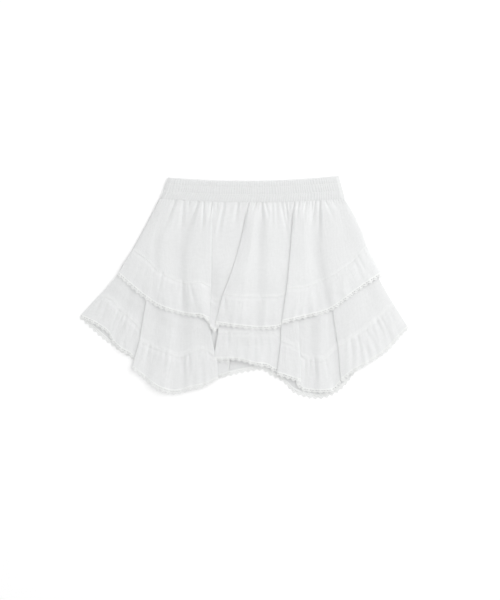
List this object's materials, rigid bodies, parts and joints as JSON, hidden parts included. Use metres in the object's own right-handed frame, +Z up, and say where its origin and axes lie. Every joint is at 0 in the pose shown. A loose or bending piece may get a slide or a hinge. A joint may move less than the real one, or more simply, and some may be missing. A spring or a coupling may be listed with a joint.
{
  "type": "tiered ruffle skirt",
  "caption": "Short white cotton skirt laid flat: shirred elastic waistband, two flared tiers, each with a gathered ruffle edged in scalloped lace.",
  "frame": {"origin": "middle of the laid-out outline, on the surface it lies on", "axes": "+X to the right across the front, +Y towards the waistband, +Z up out of the front"},
  "size_m": [0.6185, 0.4198, 0.0142],
  "materials": {
    "waistband": "matt white cotton double gauze, shirred over elastic",
    "panel": "matt white cotton double gauze with a fine crinkle",
    "ruffle": "matt white cotton double gauze, gathered",
    "lace": "matt white cotton bobbin lace with small eyelets"
  },
  "bodies": {
    "root": {"waistband_front": "waistband", "waistband_back": "waistband", "upper_panel_front": "panel", "upper_panel_back": "panel", "lower_panel_front": "panel", "lower_panel_back": "panel", "upper_ruffle_front": "ruffle", "upper_ruffle_back": "ruffle", "lower_ruffle_front": "ruffle", "lower_ruffle_back": "ruffle", "upper_lace_front": "lace", "upper_lace_back": "lace", "lower_lace_front": "lace", "lower_lace_back": "lace"}
  },
  "joints": []
}
